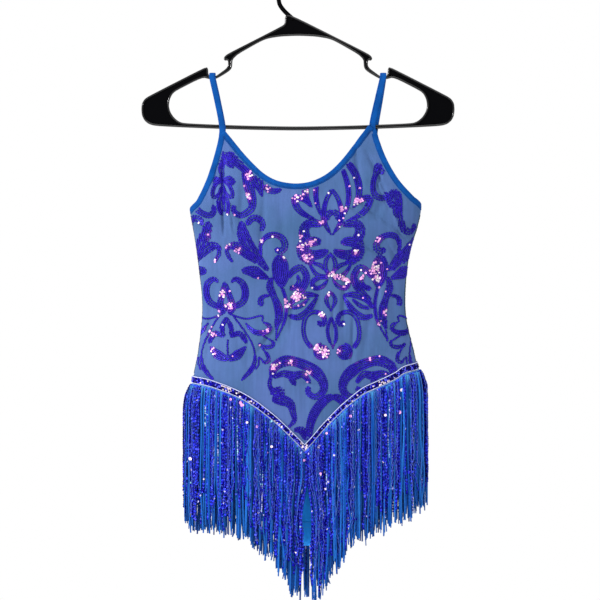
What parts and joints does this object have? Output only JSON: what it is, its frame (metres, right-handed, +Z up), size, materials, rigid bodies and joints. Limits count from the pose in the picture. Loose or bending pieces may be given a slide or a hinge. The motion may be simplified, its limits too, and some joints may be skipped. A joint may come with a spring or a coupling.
{
  "type": "sequin fringe bodysuit on a hanger",
  "caption": "Sleeveless dance bodysuit with thin straps, sequinned panels, a V hip braid and long fringe, hung on a notched plastic hanger.",
  "frame": {"origin": "the inner top of the hanger's hook, where a rail holds it", "axes": "+Z up, from the hem towards the hook; -Y the way the suit's front faces; +X to the right of someone who looks at the front"},
  "size_m": [0.42, 0.0662, 0.84],
  "materials": {
    "black_plastic": "moulded black plastic with a soft gloss",
    "sequinned_mesh": "periwinkle blue stretch mesh over a lining, with violet blue sequin scrolls",
    "plain_knit": "plain bright blue stretch knit with a low sheen",
    "binding_tape": "bright blue folded stretch binding",
    "sequin_braid": "dark blue sequins between two pale lavender thread lines",
    "fringe_strings": "satin blue chainette with twisted sequin strings"
  },
  "bodies": {
    "root": {"hanger": "black_plastic", "front_panel": "sequinned_mesh", "back_panel": "sequinned_mesh", "front_brief": "plain_knit", "back_brief": "plain_knit", "gusset": "plain_knit", "neck_binding_front": "binding_tape", "neck_binding_back": "binding_tape", "strap_binding_left": "binding_tape", "strap_binding_right": "binding_tape", "leg_binding_left": "binding_tape", "leg_binding_right": "binding_tape", "hip_trim_front": "sequin_braid", "hip_trim_back": "sequin_braid", "fringe_front": "fringe_strings", "fringe_back": "fringe_strings"}
  },
  "joints": []
}
